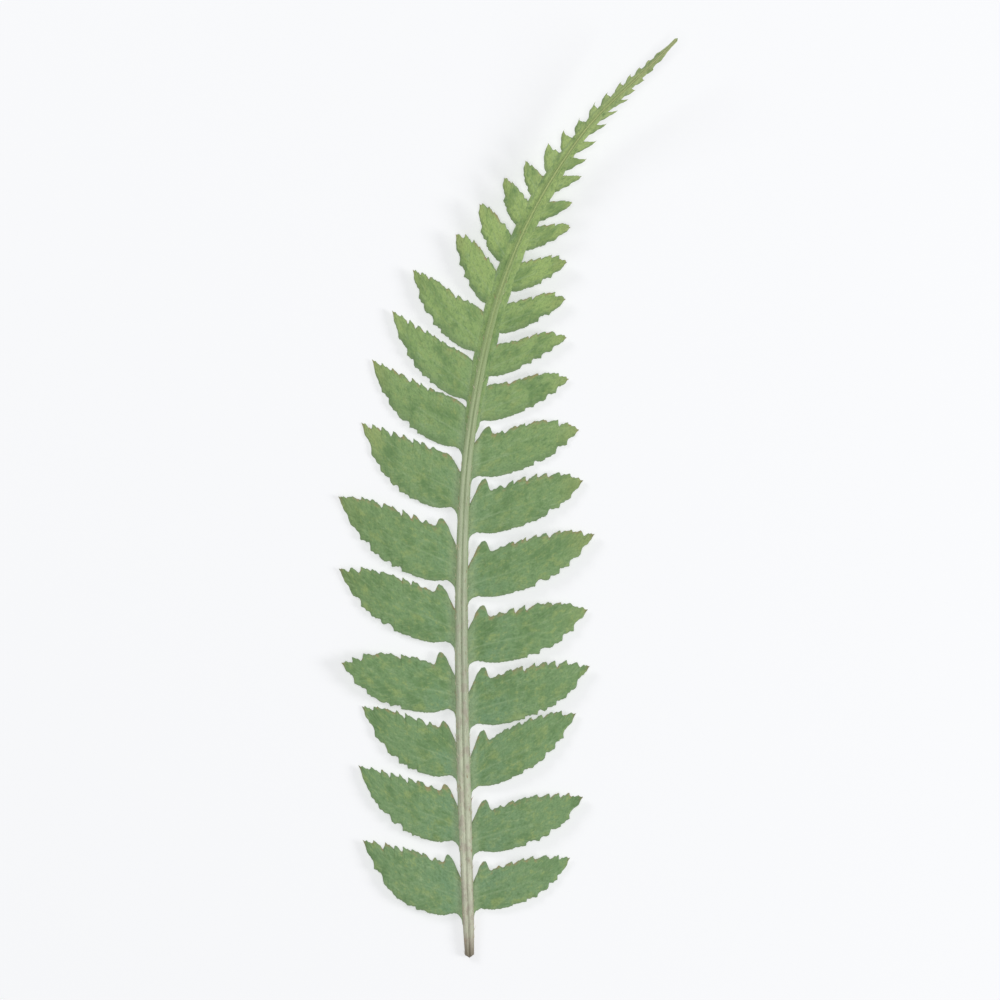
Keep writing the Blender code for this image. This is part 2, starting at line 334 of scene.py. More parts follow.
    def alongSpine(self, spine, columns, rows):  # a grid, and the path's width, place and aim
        curve = self.add("GeometryNodeMeshToCurve", None, {"Mesh": spine})
        shape, share, way = self.grid(columns, rows)
        shape = self.store(shape, "share", share)
        shape = self.store(shape, "round", way)
        settings = {"mode": "FACTOR", "data_type": "FLOAT", "use_all_curves": True}
        sockets = {"Curves": curve, "Factor": self.named("share"), "Value": self.named("half")}
        outputs = self.add("GeometryNodeSampleCurve", settings, sockets).socket.node.outputs
        place = self.parts(Wire(self, outputs["Position"]))
        aim = self.parts(Wire(self, outputs["Tangent"]))
        return shape, Wire(self, outputs["Value"]), place, aim

    def finish(self, shape, material, join=0.0005, crisp=50):  # closes seams, and ends the tree
        sockets = {"Geometry": shape, "Distance": join * mm}
        shape = self.add("GeometryNodeMergeByDistance", None, sockets)
        shape = self.add("GeometryNodeSetShadeSmooth", None, {"Geometry": shape})
        angle = self.add("GeometryNodeInputMeshEdgeAngle")
        bent = self.maths("GREATER_THAN", angle, math.radians(crisp))
        sockets = {"Geometry": shape, "Selection": bent, "Shade Smooth": False}
        shape = self.add("GeometryNodeSetShadeSmooth", {"domain": "EDGE"}, sockets)
        self.clad(self.add("GeometryNodeRealizeInstances", None, {"Geometry": shape}), material)


def newSheet(name):
    return NodeSheet(bpy.data.node_groups.new(name, "GeometryNodeTree"))


def newObject(name, data):
    thing = bpy.data.objects.new(name, data)
    bpy.context.scene.collection.objects.link(thing)
    return thing


def grow(source, tree, values):  # runs a tree on a source, and keeps the result as a plain mesh
    modifier = source.modifiers.new(tree.name, "NODES")
    modifier.node_group = tree
    for item in tree.interface.items_tree:
        if item.in_out == "INPUT" and item.name in values:
            value = values[item.name]
            if item.socket_type == "NodeSocketFloat":
                value = float(value)
            modifier[item.identifier] = value
    graph = bpy.context.evaluated_depsgraph_get()
    mesh = bpy.data.meshes.new_from_object(source.evaluated_get(graph))
    name = source.name
    bpy.data.objects.remove(source)
    work = bmesh.new()
    work.from_mesh(mesh)
    bmesh.ops.recalc_face_normals(work, faces=work.faces)
    work.to_mesh(mesh)
    work.free()
    return newObject(name, mesh)


def pointSource(name, places, values, joined=False):  # a mesh of bare points with values on them
    mesh = bpy.data.meshes.new(name)
    edges = [(n, n + 1) for n in range(len(places) - 1)] if joined else []
    mesh.from_pydata(places, edges, [])
    for key in values[0]:
        attribute = mesh.attributes.new(key, "FLOAT", "POINT")
        attribute.data.foreach_set("value", [value[key] for value in values])
    return newObject(name, mesh)


def ink(red, green, blue):  # a colour read from 0 to 255, as light
    shares = [shade / 255 for shade in (red, green, blue)]
    return (*[((x + 0.055) / 1.055) ** 2.4 if x > 0.04 else x / 12.92 for x in shares], 1)


def newFinish(name, settings):  # a material, the sheet of its nodes, and its shader
    material = bpy.data.materials.new(name)
    material.use_nodes = True
    shader = material.node_tree.nodes["Principled BSDF"]
    for socket, value in settings.items():
        shader.inputs[socket].default_value = value
    return material, NodeSheet(material.node_tree), shader


# The blades' finish. Noise and vein sizes are in millimetres.
leafFinish = {
    "greens": (  # by the share of the way up the frond
        (0, (122, 154, 108)), (0.3, (120, 153, 103)), (0.5, (126, 157, 103)),
        (0.62, (142, 171, 106)), (0.72, (159, 185, 110)), (0.85, (168, 190, 118)),
        (0.94, (176, 190, 130)), (1, (192, 192, 142)),
    ),
    "deepGreen": (88, 124, 72),
    "blueGreen": (104, 145, 118),
    "yellowGreen": (150, 170, 104),
    "paleStreak": (158, 183, 138),
    "yellowTip": (170, 182, 116),
    "rust": (162, 124, 92),
    "edgeGreen": (84, 110, 74),
    # painted shade: a darker green along the lower margins
    "lowShade": (96, 122, 88),
    # painted light: a paler green that lifts the shade at the pinnae's feet beside the rachis
    "footPale": (168, 188, 150),
    "underside": (158, 176, 134),
    "noises": {  # stretch along and across the blade, shift, scale, detail and roughness
        "patches": (1, 1, 0, 0.2, 3, 0.6),
        "mottle": (1, 1.3, 20, 0.75, 4, 0.7),
        "blotches": (0.8, 1, 40, 0.45, 2, 0.5),
        "streaks": (0.5, 1.7, 0, 0.9, 4, 0.65),
        "grain": (1, 1, 0, 2.6, 4, 0.7),
    },
    "amounts": {  # how strongly each colour covers those before it
        "deepPatches": 0.55,
        "yellowBlotches": 0.6,
        "blueFeet": 0.45,
        "darkMottle": 0.65,
        "yellowMottle": 0.72,
        "streaks": 0.5,
        "veins": 0.17,
        "forks": 0.11,
        "midrib": 0.3,
        "paleFeet": 0.5,
        "yellowTips": (0.25, 0.5),
        "darkEdge": 0.55,
        "lowEdge": 0.5,
        "rustyTeeth": 0.7,
        "rustyTip": 0.5,
        "darkGrain": 0.4,
        "underside": 0.5,
    },
    "veinSpacing": 1.9,
    "veinSlant": 2.3,
    "veinWander": 0.9,
    "forkSlant": 0.8,
    "forkSpacing": 0.5,
    "shine": 0.28,
    "roughness": 0.62,
    "roughnessRange": 0.3,
    "veinRoughness": 0.05,
    "relief": {"grain": 0.5, "streaks": 0.4, "veins": -0.3, "forks": -0.15},
    "bumpStrength": 0.5,
    "bumpHeight": 0.06,
}


def makeLeafMaterial():
    look = leafFinish
    amount = look["amounts"]
    material, sheet, shader = newFinish("pressedBlade", {"Specular IOR Level": look["shine"]})
    ramp = sheet.ramp
    u, v, tone = sheet.parts(sheet.attribute("bladeShare"))
    along, across, seed = sheet.parts(sheet.attribute("bladePlace"))
    frondShare, under = sheet.parts(sheet.attribute("frondPlace"))[:2]
    side = sheet.maths("ABSOLUTE", v)
    off = sheet.maths("ABSOLUTE", across)

    def spots(name):
        stretchAlong, stretchAcross, shift, *sizes = look["noises"][name]
        place = sheet.vector(along * stretchAlong, across * stretchAcross, seed + shift)
        return sheet.noise(place, *sizes)

    patches, mottle, blotches, streaks, grain = (spots(name) for name in look["noises"])
    wander = (mottle - 0.5) * look["veinWander"]

    def lines(slant, spacing, sharpness):  # lines that slant outwards from the midrib
        phase = sheet.maths("FRACT", (along - off * slant) / spacing + wander)
        return (1 - sheet.maths("ABSOLUTE", phase - 0.5) * 2) ** sharpness

    slant, spacing = look["veinSlant"], look["veinSpacing"]
    veins = lines(slant, spacing, 5) * ramp(side, 0.05, 0.3) * ramp(side, 1, 0.7)
    forks = lines(slant * look["forkSlant"], spacing * look["forkSpacing"], 4)
    forks = forks * ramp(side, 0.3, 0.6)
    midrib = ramp(off + (grain - 0.5) * 0.3, 0.3, 0.05) * ramp(u, 0.8, 0.1)

    blue = ramp(u, 0.6, 0.05) * ramp(frondShare, 0.75, 0.2) * ramp(patches, 0.6, 0.35)
    # Painted light: the feet of the lower pinnae are lightened where the rachis shades them.
    foot = ramp(u, 0.1, 0) * ramp(frondShare, 0.72, 0.5)
    least, more = amount["yellowTips"]
    yellow = ramp(u, 0.7, 1) * ramp(frondShare, 0.2, 0.55) * (least + tone * more)
    # Painted shade: the lower margins of the upper pinnae are darkened, as on their shadow side.
    low = ramp(v, -0.45, -0.95) * ramp(frondShare, 0.35, 0.7)
    rusty = ramp(v, 0.78, 0.96) * ramp(mottle, 0.46, 0.6) * ramp(blotches, 0.42, 0.54)
    colour = sheet.layers(
        look,
        sheet.shades(frondShare, look["greens"]),
        (ramp(patches, 0.44, 0.66), "deepGreen", "deepPatches"),
        (ramp(blotches, 0.52, 0.72), "yellowGreen", "yellowBlotches"),
        (blue, "blueGreen", "blueFeet"),
        (ramp(mottle, 0.5, 0.3), "deepGreen", "darkMottle"),
        (ramp(mottle, 0.52, 0.7), "yellowGreen", "yellowMottle"),
        (ramp(streaks, 0.5, 0.76), "paleStreak", "streaks"),
        (veins * amount["veins"] + forks * amount["forks"], "paleStreak", None),
        (midrib, "paleStreak", "midrib"),
        (foot, "footPale", "paleFeet"),
        (yellow, "yellowTip", None),
        (ramp(side, 0.9, 0.98), "edgeGreen", "darkEdge"),
        (low, "lowShade", "lowEdge"),
        (rusty, "rust", "rustyTeeth"),
        (ramp(u, 0.95, 1), "rust", "rustyTip"),
        (ramp(grain, 0.58, 0.32), "edgeGreen", "darkGrain"),
        (under, "underside", "underside"),
    )
    roughness = look["roughness"] + (grain - 0.5) * look["roughnessRange"]
    roughness = roughness + veins * look["veinRoughness"]
    relief = look["relief"]
    height = grain * relief["grain"] + streaks * relief["streaks"]
    height = height + veins * relief["veins"] + forks * relief["forks"]
    bump = sheet.bump(look["bumpStrength"], look["bumpHeight"], height)
    sheet.feed(shader, {"Base Color": colour, "Roughness": roughness, "Normal": bump})
    return material


# The pinnae: the blade's outline in shares of its height, its teeth, how it lies, and its relief.
pinnaShape = {
    "count": 24,
    "older": 12,
    "upperMargin": (
        (0, 0.38), (0.1, 0.5), (0.2, 0.53), (0.3, 0.57), (0.45, 0.55), (0.6, 0.51), (0.72, 0.44),
        (0.82, 0.34), (0.91, 0.2), (0.96, 0.1), (1, 0),
    ),
    "lowerMargin": (
        (0, 0.42), (0.05, 0.28), (0.12, 0.33), (0.2, 0.4), (0.3, 0.43), (0.6, 0.42), (0.72, 0.36),
        (0.82, 0.28), (0.91, 0.17), (1, 0),
    ),
    "young": ((12, 0), (16, 1)),
    "youngUpper": ((0, 0.52), (0.3, 0.37), (0.6, 0.19), (1, 0)),
    "youngLower": ((0, 0.42), (0.5, 0.32), (0.8, 0.17), (1, 0)),
    "ear": (
        (0, 0), (0.045, 0.1), (0.085, 0.22), (0.12, 0.25), (0.15, 0.17), (0.195, -0.02), (0.22, 0),
        (1, 0),
    ),
    "earEnd": 0.195,
    "heel": ((0, 1), (0.085, 0.6), (0.195, 0.3), (0.35, 0), (1, 0)),
    "bow": 27 / 4,
    "toothRun": 3,
    "toothDepth": 0.085,
    "toothPeak": 0.7,
    "toothRise": 1.25,
    "toothFall": 0.85,
    "toothSizes": (0.25, 1.3),
    "toothDrift": 1.3,
    "toothLean": 0.14,
    "smallTeeth": 0.28,
    "smallRate": 2.3,
    "smallShift": 0.37,
    "lowerTeeth": 0.7,
    "youngTeeth": 0.4,
    "deepestNotch": 0.45,
    "crinkle": 0.7,
    "crinkleRate": 1.5,
    "smoothFoot": 0.3,
    "thickness": 0.34,
    "arch": 0.7,
    "archRange": (0.6, 1.3),
    "liftedArch": 0.4,
    "crease": 0.22,
    "creaseRun": 0.2,
    "twist": 0.45,
    "tipGaps": (0.3, 1.6),
    "settlePower": 1.5,
    "restThickness": 0.6,
    "youngThickness": 0.55,
    "leastHeight": 0.02,
    "leastDepth": 0.2,
    "smallBlade": 8,
    "rootDepth": 0.55,
    "rootShare": 0.02,
    "veinRelief": 0.045,
    "ribFall": -9,
    "ribBelow": -0.2,
    "grooveAbove": 0.05,
    "ripple": 0.16,
    "rippleRate": 0.22,
    "rowSpread": 0.38,
    "sideKey": 50,
    "seed": 11,
    "olderColumns": 150,
    "olderRows": 41,
    "youngColumns": 60,
    "youngRows": 25,
}


def measurePinna(side, number, draw):  # one pinna's own sizes
    shape = pinnaShape
    s = read(side["foot"], number)
    before = max(number - 1, 1)
    gap = read(side["foot"], number + 1) - read(side["foot"], before)
    tall = read(side["fill"], number) * (gap / (number + 1 - before))
    reach = read(side["reach"], number)
    rise = read(side["rise"], number)
    length = math.hypot(reach, rise)
    size = min(1, reach / shape["smallBlade"])
    lifted = read(((0, 0), (frondPath["liftRun"], 1)), s - frondPath["liftStart"])
    tipGap = draw.uniform(*shape["tipGaps"])
    twist = shape["twist"] * draw.uniform(-1, 1)
    arch = shape["arch"] * size * draw.uniform(*shape["archRange"])
    if number in side["tipGaps"]:
        tipGap = side["tipGaps"][number]
        twist = 0
    along = alongAt(s)
    return {
        "footAlong": s,
        "alongX": along.x,
        "alongY": along.y,
        "halfWidth": halfWidth(s),
        "tall": tall,
        "reach": reach,
        "rise": rise,
        "foot": read(side["midrib"], number) * tall,
        "sag": read(side["sag"], number) * shape["bow"],
        "belly": read(side["belly"], number),
        "earSize": read(side["ear"], number),
        "heelSize": read(side["heel"], number),
        "young": read(shape["young"], number),
        "size": size,
        "onSurface": 1 - lifted,
        "tipHeight": shape["restThickness"] / 2 + tipGap,
        "arch": arch * (1 - (1 - shape["liftedArch"]) * lifted),
        "twist": twist * size,
        "teeth": max(1, round(length / shape["toothRun"])),
        "length": length,
        "number": number,
    }


def measurePinnae():  # by side and number, in the order in which they grow
    draw = random.Random(pinnaShape["seed"])
    grown = {}
    for side in (leftSide, rightSide):
        for number in range(1, pinnaShape["count"] + 1):
            grown[side["side"], number] = measurePinna(side, number, draw)
    return grown


def makePinnaTree(grown):
    shape = pinnaShape
    sheet = newSheet("growPinnae")
    ramp, curve = sheet.ramp, sheet.curve
    inputs = sheet.take({
        "Geometry": "Geometry", "Columns": "Int", "Rows": "Int", "Side": "Float",
        "Thickness": "Float", "Tooth Depth": "Float", "Vein Relief": "Float", "Ripple": "Float",
        "Seed": "Float", "Material": "Material",
    })
    points, columns, rows, side, thickness, toothDepth, veinRelief, ripple, seed, material = inputs

    # A flat grid carries the share along the blade and the way round its thin section. Shares
    # below 0 are the root, which is set into the rachis.
    grid, share, way = sheet.grid(columns, rows)
    inset = shape["rootShare"]
    grid = sheet.store(grid, "share", share * (1 + inset) - inset)
    grid = sheet.store(grid, "round", way)
    blades = sheet.scatter(points, grid)

    own = {name: sheet.named(name) for name in ("share", "round", *grown[1, 1])}
    u = sheet.most(own["share"], 0)
    rootPart = sheet.most(own["share"] * -1 / inset, 0)
    turn = sheet.maths("ABSOLUTE", own["round"] - 0.5) * 4 - 1
    v = turn * (1 - shape["rowSpread"] + shape["rowSpread"] * turn * turn)
    away = sheet.maths("ABSOLUTE", v)
    face = sheet.maths("SIGN", 0.5 - own["round"])
    key = own["number"] + side * shape["sideKey"] + seed  # each blade has its own

    # Teeth: each rises slowly to its point and falls fast, and no two are the same size. A notch
    # has one depth on both its sides, so that the margin stays unbroken.
    drift = sheet.noise(sheet.vector(u * own["teeth"] * 0.5, key, v * 0.3), 1)
    unevenly = (drift - 0.5) * shape["toothDrift"]
    phase = (u - shape["earEnd"]) / (1 - shape["earEnd"]) * own["teeth"]
    phase = phase + unevenly * ramp(u, 0.2, 0.35) * ramp(u, 1, 0.85)
    tooth = sheet.maths("FLOOR", phase)
    through = phase - tooth
    peak = shape["toothPeak"]
    rising = sheet.most(1 - through / peak, 0) ** shape["toothRise"]
    falling = sheet.most((through - peak) / (1 - peak), 0) ** shape["toothFall"]
    flank = sheet.maths("SIGN", v)
    least, more = shape["toothSizes"]
    before = least + more * sheet.speck(tooth, key, flank)
    after = least + more * sheet.speck(tooth + 1, key, flank)
    small = sheet.maths("FRACT", phase * shape["smallRate"] + shape["smallShift"])
    smallRise = sheet.most(1 - small / peak, 0)
    smallFall = sheet.most((small - peak) / (1 - peak), 0)
    notch = rising * before + falling * after + (smallRise + smallFall) * shape["smallTeeth"]
    smooth = shape["smoothFoot"]
    upperNotch = notch * ramp(u, 0.2, 0.26)
    lowerNotch = notch * ramp(u, smooth, smooth * 2, 0, shape["lowerTeeth"])

    # The margins, from the midrib, and a fine crinkle along them.
    young, tall = own["young"], own["tall"]
    toothSize = toothDepth * tall * (1 - young * (1 - shape["youngTeeth"]))
    upperShare = curve(u, shape["upperMargin"]) * (1 - young)
    upperShare = upperShare + curve(u, shape["youngUpper"], "VECTOR") * young
    ear = own["earSize"] * curve(u, shape["ear"])
    heel = own["heelSize"] * curve(u, shape["heel"], "VECTOR")
    upper = (upperShare + ear + heel) * tall
    lowerShare = curve(u, shape["lowerMargin"]) * (1 - young)
    lowerShare = lowerShare + curve(u, shape["youngLower"], "VECTOR") * young
    lower = own["belly"] * lowerShare * tall
    upper = upper - sheet.least(upperNotch * toothSize, upper * shape["deepestNotch"])
    lower = lower - sheet.least(lowerNotch * toothSize, lower * shape["deepestNotch"])
    tipward = ramp(u, 1, 0.9)
    crinklePlace = sheet.vector(u * own["length"] * shape["crinkleRate"], key, v)
    crinkle = (sheet.noise(crinklePlace, 1, 3, 0.65) - 0.5) * shape["crinkle"]
    fine = crinkle * own["size"] * tipward
    across = sheet.most(v, 0) * (upper + fine) + sheet.least(v, 0) * (lower + fine)

    # The plan: out from the rachis along the midrib's bow, with teeth that lean to the tip.
    bow = own["sag"] * u * u * (1 - u)
    up = own["foot"] + (own["rise"] - own["foot"]) * u - bow + across
    leaning = sheet.most(1 - notch, 0) * away * away * away * ramp(u, 0.2, 0.4) * tipward
    forward = leaning * own["reach"] / own["teeth"] * shape["toothLean"]
    root = rootPart * own["halfWidth"] * shape["rootDepth"]
    out = own["halfWidth"] + u * own["reach"] - root + forward
    footX, footY = sheet.parts(sheet.named("footPlace", "FLOAT_VECTOR"))[:2]
    placeX = footX + side * own["alongY"] * out + own["alongX"] * up
    placeY = footY - side * own["alongX"] * out + own["alongY"] * up

    # The lie: carried at the rachis's height, then down to the surface, arched and creased.
    run = frondPath["run"]
    s = own["footAlong"] + up
    widest = 3
    widths = tuple((at / run, width / widest) for at, width in frondPath["rachisWidth"])
    half = curve(s / run, widths, "VECTOR") * (widest / 2)
    past = sheet.most(s - frondPath["liftStart"], 0) / (run - frondPath["liftStart"])
    carried = half * frondPath["underside"] + past * past * frondPath["tipLift"]
    settle = own["onSurface"] * (own["tipHeight"] - carried) * u ** shape["settlePower"]
    bend = own["arch"] * sheet.maths("SINE", u * math.pi)
    crease = own["size"] * (1 - u) * sheet.least(u / shape["creaseRun"], 1) * shape["crease"]
    lie = carried + settle + bend + v * own["twist"] * u - away * crease

    # Relief: a raised midrib below, a groove above it, slanting veins and a slight ripple.
    alongBlade = u * own["length"]
    distance = sheet.maths("ABSOLUTE", across)
    rib = sheet.maths("EXPONENT", distance * distance * shape["ribFall"]) * (1 - u) * own["size"]
    ribHeight = sheet.most(face * -1, 0) * shape["ribBelow"] - shape["grooveAbove"]
    veinPhase = (alongBlade - distance * leafFinish["veinSlant"]) / leafFinish["veinSpacing"]
    swell = sheet.maths("COSINE", veinPhase * math.tau) * ramp(away, 0.02, 0.3)
    swell = swell * ramp(away, 1, 0.75) * veinRelief
    rate = shape["rippleRate"]
    wave = sheet.noise(sheet.vector(alongBlade * rate, across * rate, key), 1, 1) - 0.5
    relief = (swell + wave * ripple * 2 * ramp(u, 0, 0.3)) * own["size"]
    thinning = (1 - away**6) ** 0.5 * ramp(u, 1, 0.93) * (1 - rootPart)
    full = shape["youngThickness"] + (1 - shape["youngThickness"]) * own["size"]
    depth = face * thickness * 0.5 * thinning * full
    lowered = (shape["restThickness"] - thickness) * -0.5
    placeZ = lie + depth + lowered + relief + rib * ribHeight * (1 - rootPart)
    floor = shape["leastHeight"] + thinning * sheet.most(face, 0) * shape["leastDepth"]
    placeZ = sheet.most(placeZ, floor)

    tone = sheet.speck(key, 3, 0)
    blades = sheet.storePlace(blades, "bladeShare", u, v, tone)
    blades = sheet.storePlace(blades, "bladePlace", alongBlade, across, key * 9.7)
    blades = sheet.storePlace(blades, "frondPlace", s / run, face * -0.5 + 0.5, 0)
    blades = sheet.move(blades, placeX, placeY, placeZ)
    sheet.finish(blades, material)
    return sheet.tree


def makePinnae(name, side, numbers, columns, rows, grown, tree, material):
    shape = pinnaShape
    values = [grown[side["side"], number] for number in numbers]
    source = pointSource(name, [(0, 0, 0)] * len(values), values)
    places = [(*plan(value["footAlong"]), 0) for value in values]
    feet = source.data.attributes.new("footPlace", "FLOAT_VECTOR", "POINT")
    feet.data.foreach_set("vector", [c for place in places for c in place])
    inputs = {
        "Columns": columns, "Rows": rows, "Side": side["side"], "Thickness": shape["thickness"],
        "Tooth Depth": shape["toothDepth"], "Vein Relief": shape["veinRelief"],
        "Ripple": shape["ripple"], "Seed": shape["seed"], "Material": material,
    }
    piece = grow(source, tree, inputs)
    keepOnly(piece, ("bladeShare", "bladePlace", "frondPlace"))
    return piece


def keepOnly(piece, names):  # drops the working values that the finish doesn't read
    names = (*names, "sharp_face", "sharp_edge", "UVMap", "material_index")
    attributes = piece.data.attributes
    for name in [a.name for a in attributes if not a.is_internal and not a.is_required]:
        if name not in names:
            attributes.remove(attributes[name])


# The narrow green wing that joins the feet of the upper pinnae. It is finished as a pinna is at
# one share of its length, with its own spread across and its own tone.
wingShape = {
    "reach": ((98, 0.3), (118, 1.2), (148, 1.3), (158, 0.7), (172, 0.45), (180, 0.3), (187, 0.05)),
    "end": 186.4,
    "stations": 180,
    "columns": 260,
    "rows": 17,
    "thickness": 0.36,
    "scallop": 0.25,
    "scallopRate": 90,
    "endWidth": 0.35,
    "likeBlade": (0.45, 0.8, 0.2),
    "noiseShift": 7,
}


def makeWing(material):
    look = wingShape
    sheet = newSheet("growWing")
    spine, columns, rows, thickness, scallop, finish = sheet.take({
        "Geometry": "Geometry", "Columns": "Int", "Rows": "Int", "Thickness": "Float",
        "Scallop": "Float", "Material": "Material",
    })

    grid, half, place, aim = sheet.alongSpine(spine, columns, rows)
    share = sheet.named("share")
    turn = sheet.maths("ABSOLUTE", sheet.named("round") - 0.5) * 4 - 1
    away = sheet.maths("ABSOLUTE", turn)
    face = sheet.maths("SIGN", 0.5 - sheet.named("round"))
    wave = sheet.noise(sheet.vector(share * look["scallopRate"], turn * 0.3, 3), 1)
    uneven = (wave - 0.5) * scallop * 2
    ends = sheet.ramp(share, 0, 0.04) * sheet.ramp(share, 1, 0.97)
    out = turn * (half + uneven * away) * (look["endWidth"] + (1 - look["endWidth"]) * ends)
    thin = (1 - away**4) ** 0.5 * face * thickness * 0.5 * ends
    start = look["reach"][0][0]
    length = look["end"] - start
    blade, spread, tone = look["likeBlade"]
    grid = sheet.storePlace(grid, "bladeShare", blade, turn * spread, tone)
    grid = sheet.storePlace(grid, "bladePlace", share * length, out, look["noiseShift"])
    frondShare = (share * length + start) / frondPath["run"]
    grid = sheet.storePlace(grid, "frondPlace", frondShare, face * -0.5 + 0.5, 0)
    grid = sheet.move(grid, place[0] + out * aim[1], place[1] - out * aim[0], place[2] + thin)
    sheet.finish(grid, finish)

    count = look["stations"]
    stations = [start + length * n / count for n in range(count + 1)]
    places = [(*plan(s), heightAt(s)) for s in stations]
    values = [{"half": halfWidth(s) + read(look["reach"], s)} for s in stations]
    source = pointSource("wing", places, values, joined=True)
    inputs = {
        "Columns": look["columns"], "Rows": look["rows"], "Thickness": look["thickness"],
        "Scallop": look["scallop"], "Material": material,
    }
    piece = grow(source, sheet.tree, inputs)
    keepOnly(piece, ("bladeShare", "bladePlace", "frondPlace"))
    return piece


# The rachis. Its section is a radius for each share of the way from the top groove round to the
# underside, in shares of its half width.
rachisShape = {
    "section": (
        (0, 0.52), (0.045, 0.58), (0.117, 0.78), (0.23, 0.9), (0.453, 1), (0.611, 1),
        (0.808, 0.96), (1, 0.8),
    ),
    "step": 0.5,
    "around": 56,
    "ribs": 0.05,
    "ribRates": (11, 0.04),
    "swell": 0.12,
    "swellRate": 0.09,
    "smoothBelow": (0.85, 0.55),
    "ragged": 0.7,
    "raggedRun": 3,
    "raggedRate": 3,
    "endTaper": 400,
    "seed": 4,
}
rachisFinish = {
    "shades": (  # by the share of the way up the frond
        (0, (172, 168, 150)), (0.03, (188, 190, 169)), (0.08, (203, 207, 185)),
        (0.18, (189, 197, 171)), (0.3, (175, 185, 160)), (0.45, (171, 184, 151)),
        (0.55, (163, 178, 137)), (0.62, (154, 173, 122)), (0.75, (157, 178, 114)),
        (0.9, (170, 184, 124)), (1, (190, 192, 144)),
    ),
    "groove": (122, 140, 98),
    "lowGroove": (142, 146, 122),
    # the ridges' pale stripes, with a painted highlight laid in them
    "creamRidgeAndHighlight": (208, 212, 184),
    "paleGreenRidgeAndHighlight": (168, 190, 122),
    "tipCentre": (204, 213, 150),
    "tipSide": (154, 184, 112),
    "tipFlank": (104, 130, 72),
    "pinkGrey": (170, 154, 146),
    "sideGreen": (146, 166, 120),
    "brownFleck": (132, 112, 92),
    "cutEnd": (98, 84, 66),
    "under": (176, 172, 142),
    "noises": {  # stretch round and along the rachis, shift, scale, detail and roughness
        "lines": (9, 0.12, 2, 1.6, 4, 0.65),
        "threads": (26, 0.25, 9, 1.6, 3, 0.6),
        "patches": (2.5, 0.5, 5, 1, 3, 0.6),
        "grain": (8, 1.6, 1, 1.5, 3, 0.6),
    },
    "amounts": {  # how strongly each colour covers those before it
        "pink": 0.6,
        "sides": (0.1, 0.7),
        "ridges": (0.4, 0.16),
        "darkLines": 0.35,
        "groove": 0.5,
        "under": 0.7,
        "threads": 0.28,
        "tipFlank": 0.75,
        "tipCentre": 0.6,
        "tipSide": 0.6,
        "brownEdges": 0.6,
        "flecks": 0.45,
        "cutEnd": 0.7,
    },
    "shine": 0.35,
    "roughness": 0.6,
    "roughnessRange": 0.3,
    "relief": {"lines": 0.6, "threads": 0.6, "grain": 0.2},
    "bumpStrength": 0.7,
    "bumpHeight": 0.08,
}


def makeRachisMaterial():
    look = rachisFinish
    amount = look["amounts"]
    material, sheet, shader = newFinish("dryRachis", {"Specular IOR Level": look["shine"]})
    ramp = sheet.ramp
    around, s, signed = sheet.parts(sheet.attribute("rachisPlace"))

    def spots(name):
        stretchRound, stretchAlong, shift, *sizes = look["noises"][name]
        place = sheet.vector(signed * stretchRound, s * stretchAlong, shift)
        return sheet.noise(place, *sizes)

    lines, threads, patches, grain = (spots(name) for name in look["noises"])
    dark = sheet.blend(ramp(s, 30, 110), ink(*look["lowGroove"]), ink(*look["groove"]))
    # The pale on the ridges is partly their own pale stripes and partly a painted highlight.
    pale = sheet.blend(ramp(s, 80, 125), ink(*look["creamRidgeAndHighlight"]), ink(*look["paleGreenRidgeAndHighlight"]))
    pink = ramp(patches, 0.45, 0.65) * ramp(s, 90, 40)
    sides = ramp(around, 0.24, 0.42) * ramp(around, 0.75, 0.5)
    ridges = ramp(around, 0.06, 0.13) * ramp(around, 0.27, 0.17) * ramp(lines, 0.38, 0.66)
    groove = ramp(around, 0.08, 0.01) * ramp(grain, 0.3, 0.6) * ramp(s, 125, 95)
    tipward = ramp(s, 104, 142)
    flank = ramp(around, 0.08, 0.13) * ramp(around, 0.3, 0.2) * ramp(grain, 0.25, 0.6) * tipward
    centre = ramp(around + (grain - 0.5) * 0.12, 0.1, 0.03) * ramp(s, 178, 160, 0.25, 1)
    brown = ramp(around, 0.27, 0.42) * ramp(around, 0.75, 0.5) * ramp(s, 34, 6)
    flecks = ramp(grain, 0.6, 0.72) * ramp(s, 120, 60)
    colour = sheet.layers(
        look,
        sheet.shades(s / frondPath["run"], look["shades"]),
        (pink, "pinkGrey", "pink"),
        (sides * ramp(s, 10, 90, *amount["sides"]), "sideGreen", None),
        (ridges * ramp(s, 80, 112, *amount["ridges"]), pale, None),
        (ramp(lines, 0.5, 0.34), dark, "darkLines"),
        (groove, dark, "groove"),
        (ramp(around, 0.6, 0.85), "under", "under"),
        (ramp(threads, 0.54, 0.34), dark, "threads"),
        (flank, "tipFlank", "tipFlank"),
        (centre * tipward, "tipCentre", "tipCentre"),
        (ramp(around, 0.26, 0.36) * tipward, "tipSide", "tipSide"),
        (brown * ramp(threads, 0.36, 0.6), "brownFleck", "brownEdges"),
        (flecks, "brownFleck", "flecks"),
        (ramp(s + (threads - 0.5) * 9, 4.6, 0.2), "cutEnd", "cutEnd"),
    )
    roughness = look["roughness"] + (grain - 0.5) * look["roughnessRange"]
    relief = look["relief"]
    height = lines * relief["lines"] + threads * relief["threads"] + grain * relief["grain"]
    bump = sheet.bump(look["bumpStrength"], look["bumpHeight"], height)
    sheet.feed(shader, {"Base Color": colour, "Roughness": roughness, "Normal": bump})
    return material


